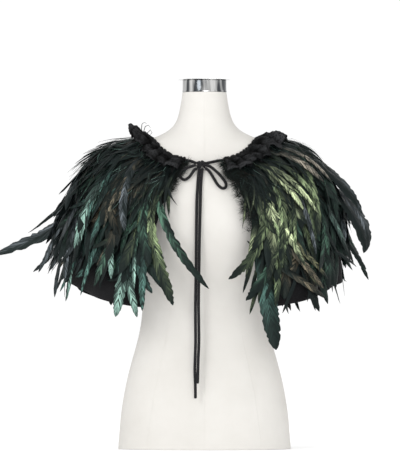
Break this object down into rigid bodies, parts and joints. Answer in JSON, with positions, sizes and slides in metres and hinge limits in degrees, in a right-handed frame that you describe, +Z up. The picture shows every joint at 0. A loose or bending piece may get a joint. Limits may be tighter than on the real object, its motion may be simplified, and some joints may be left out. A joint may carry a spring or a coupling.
{
  "type": "feather cape on dress form",
  "caption": "Short open-front cape of overlapping rooster tail feathers with a ruffled drawstring collar tied in a bow, resting on a limbless dress form.",
  "frame": {"origin": "middle of the dress form's flat base, on the surface that it stands on", "axes": "+Z up along the form, -Y to the front where the cape is open and tied, +X to the viewer's right"},
  "size_m": [0.7924, 0.4527, 0.7733],
  "materials": {
    "form_cover": "matte off-white jersey",
    "neck_metal": "polished",
    "cape_cloth": "matte black cloth",
    "collar_cloth": "matte black gathered lace cloth",
    "feathers": "black rooster tail with green and bronze sheen",
    "cord": "matte black woven cord"
  },
  "bodies": {
    "root": {"dress_form": "form_cover", "neck_cap": "neck_metal", "cape_front_right": "cape_cloth", "cape_back": "cape_cloth", "cape_front_left": "cape_cloth", "collar_casing": "collar_cloth", "collar_ruffle": "collar_cloth", "feathers_hem": "feathers", "feathers_lower": "feathers", "feathers_upper": "feathers", "feathers_collar": "feathers", "bow_knot": "cord", "tail_long": "cord", "tail_short": "cord", "loop_left": "cord", "loop_right": "cord", "span_left": "cord", "span_right": "cord"}
  },
  "joints": []
}
